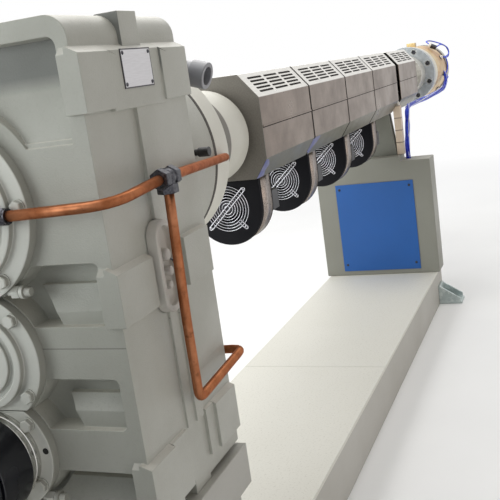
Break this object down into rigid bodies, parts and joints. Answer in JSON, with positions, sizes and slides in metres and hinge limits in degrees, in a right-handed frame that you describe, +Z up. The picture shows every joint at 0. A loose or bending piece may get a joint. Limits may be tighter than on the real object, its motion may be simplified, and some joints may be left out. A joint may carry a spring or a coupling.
{
  "type": "plastic extruder",
  "caption": "Single-screw plastic extruder with a gear reducer on a seat, a covered and fan-cooled barrel, a barrel support pedestal, a drive motor and a long welded base",
  "frame": {"origin": "on the floor, below the middle of the machine's length and width", "axes": "+X along the screw from the drive to the die, +Y to the left of that direction, +Z up"},
  "size_m": [5.53, 0.696, 1.262],
  "materials": {
    "deck_steel": "satin",
    "frame_paint": "satin",
    "galvanised": "satin",
    "seat_paint": "satin",
    "casting_paint": "satin",
    "cover_paint": "satin",
    "coupling_black": "gloss",
    "motor_paint": "satin",
    "label_metal": "satin",
    "gauge_body": "satin",
    "copper_tube": "satin",
    "fitting_steel": "satin",
    "black_plastic": "matte",
    "grey_plastic": "satin",
    "drum_paint": "satin",
    "barrel_steel": "satin",
    "screw_steel": "satin",
    "end_plate_steel": "satin",
    "stainless": "satin",
    "fan_black": "satin",
    "fan_motor_grey": "satin",
    "guard_wire": "polished",
    "cabinet_paint": "satin",
    "panel_blue": "satin",
    "adapter_steel": "satin",
    "heater_brass": "satin",
    "trunk_plastic": "matte",
    "wire_blue": "matte"
  },
  "bodies": {
    "root": {"deck_plates": "deck_steel", "base_frame": "frame_paint", "foot_brackets": "galvanised", "gearbox_seat": "seat_paint", "motor_stand": "seat_paint", "gearbox_casing": "casting_paint", "output_cover": "cover_paint", "intermediate_cover": "cover_paint", "input_cover": "cover_paint", "coupling": "coupling_black", "drive_motor": "motor_paint", "motor_fan_cowl": "motor_paint", "motor_terminal_box": "motor_paint", "label_plate": "label_metal", "oil_gauge": "gauge_body", "oil_pipe_rear": "copper_tube", "oil_pipe_thrust": "copper_tube", "oil_pipe_drop": "copper_tube", "pipe_tee": "fitting_steel", "breather_plug": "black_plastic", "vent_elbow": "grey_plastic", "thrust_flange": "drum_paint", "feed_section": "drum_paint", "barrel": "barrel_steel", "barrel_flange": "barrel_steel", "barrel_support": "barrel_steel", "screw": "screw_steel", "cover_end_plates": "end_plate_steel", "zone_cover_1": "stainless", "zone_cover_2": "stainless", "zone_cover_3": "stainless", "zone_cover_4": "stainless", "zone_cover_5": "stainless", "fan_1": "fan_black", "fan_2": "fan_black", "fan_3": "fan_black", "fan_4": "fan_black", "fan_motors": "fan_motor_grey", "fan_guards": "guard_wire", "pedestal": "cabinet_paint", "pedestal_panel": "panel_blue", "die_adapter": "adapter_steel", "adapter_heater": "heater_brass", "wire_trunk": "trunk_plastic", "heater_wires": "wire_blue"}
  },
  "joints": []
}
